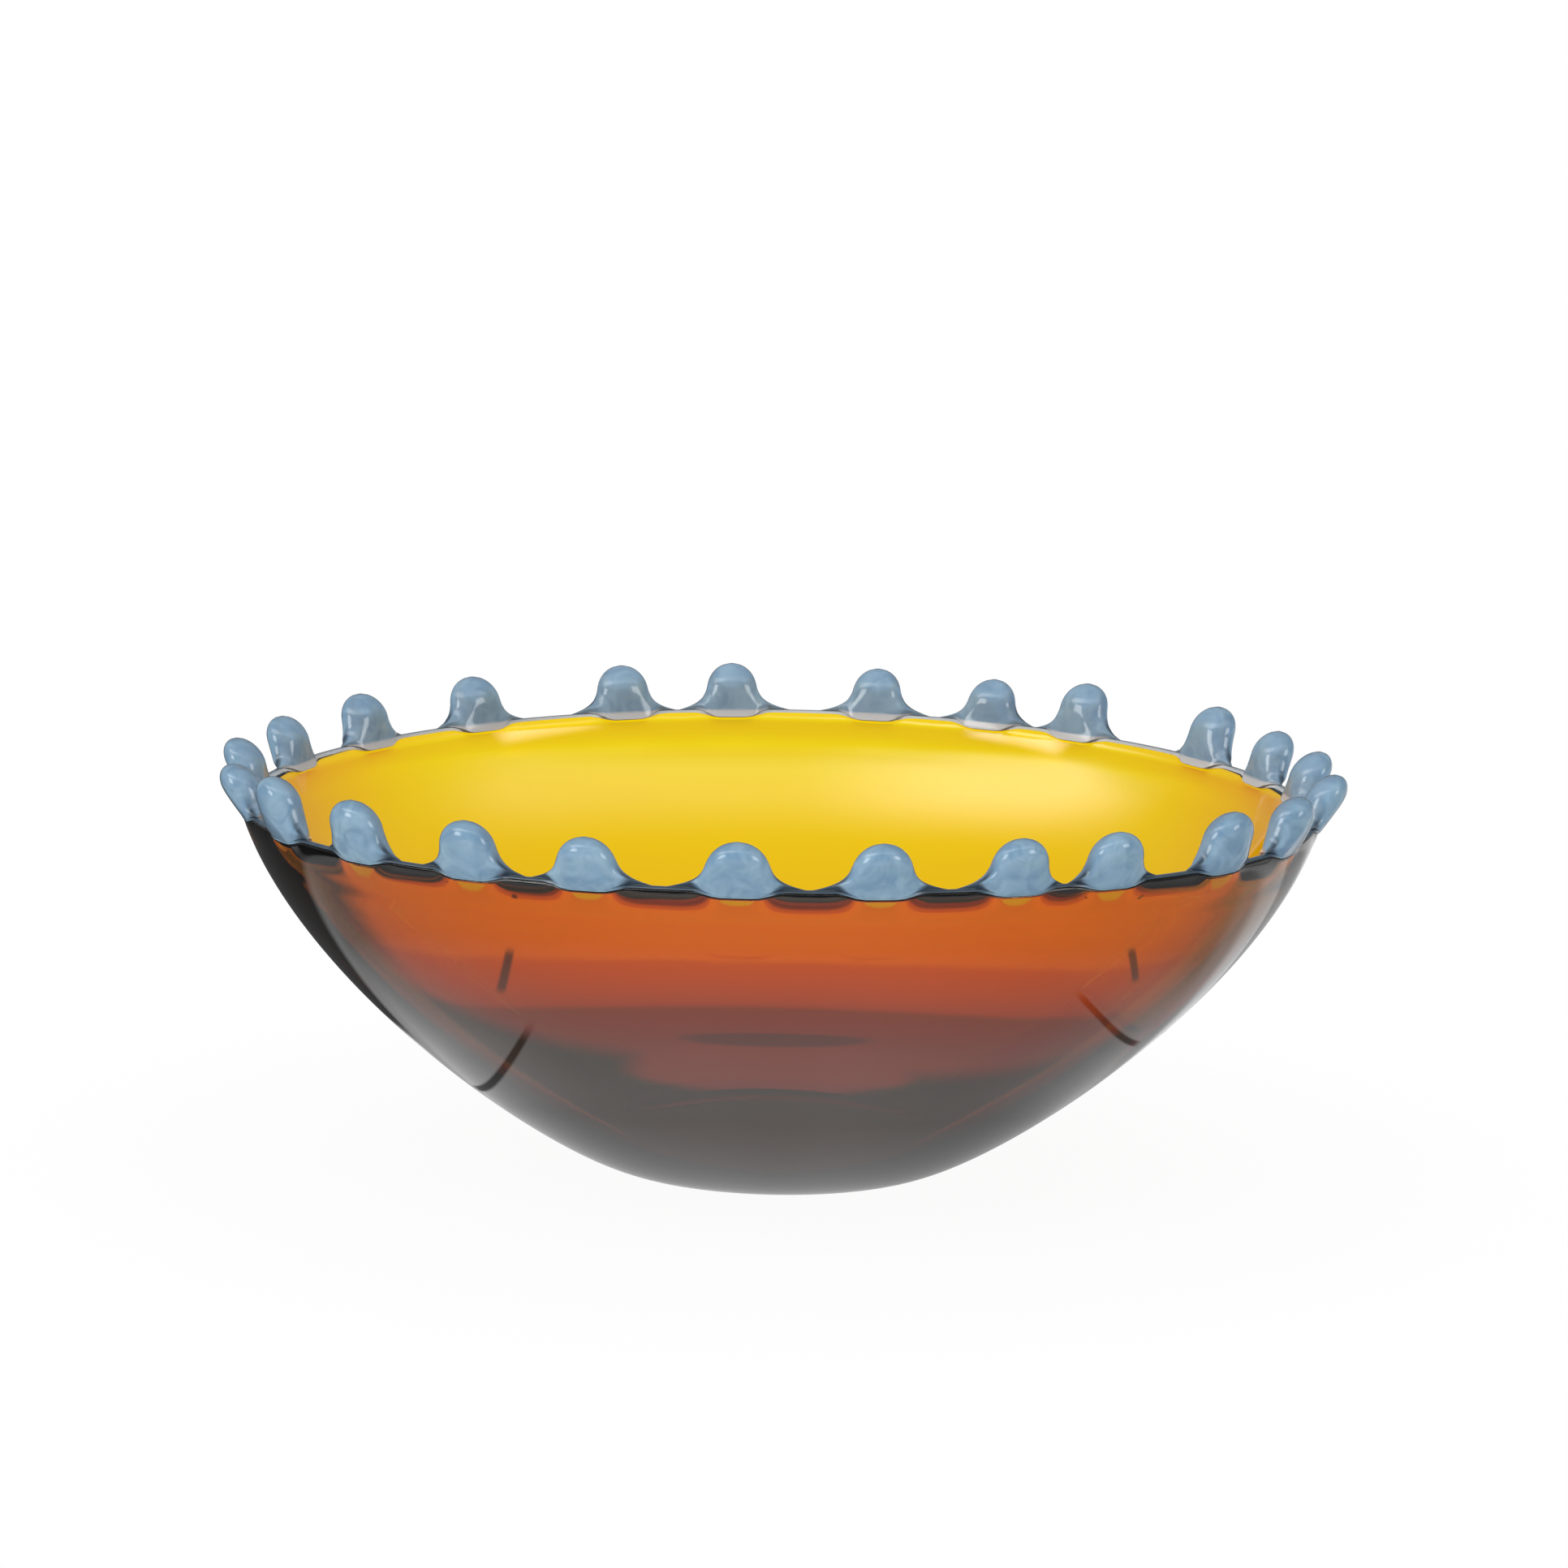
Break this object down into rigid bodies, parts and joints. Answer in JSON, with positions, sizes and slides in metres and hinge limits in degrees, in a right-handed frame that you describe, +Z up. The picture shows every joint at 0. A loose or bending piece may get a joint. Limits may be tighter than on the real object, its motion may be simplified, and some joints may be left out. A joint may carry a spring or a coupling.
{
  "type": "art glass bowl",
  "caption": "Blown amber glass bowl with a flared conical wall, a small flat base and a lip trimmed with a blue glass thread and upright rounded blue glass drops.",
  "frame": {"origin": "centre of the flat ground base, on the surface that the bowl rests on", "axes": "+Z up along the bowl's axis; -Y is the front, the side first seen"},
  "size_m": [0.2966, 0.2969, 0.1126],
  "materials": {
    "amber_glass": "clear, fire-polished, coloured through",
    "blue_glass": "translucent grey-blue, fire-polished"
  },
  "bodies": {
    "root": {"bowl_body": "amber_glass", "rim_wrap": "blue_glass", "rim_drop_01": "blue_glass", "rim_drop_02": "blue_glass", "rim_drop_03": "blue_glass", "rim_drop_04": "blue_glass", "rim_drop_05": "blue_glass", "rim_drop_06": "blue_glass", "rim_drop_07": "blue_glass", "rim_drop_08": "blue_glass", "rim_drop_09": "blue_glass", "rim_drop_10": "blue_glass", "rim_drop_11": "blue_glass", "rim_drop_12": "blue_glass", "rim_drop_13": "blue_glass", "rim_drop_14": "blue_glass", "rim_drop_15": "blue_glass", "rim_drop_16": "blue_glass", "rim_drop_17": "blue_glass", "rim_drop_18": "blue_glass", "rim_drop_19": "blue_glass", "rim_drop_20": "blue_glass", "rim_drop_21": "blue_glass", "rim_drop_22": "blue_glass", "rim_drop_23": "blue_glass", "rim_drop_24": "blue_glass"}
  },
  "joints": []
}
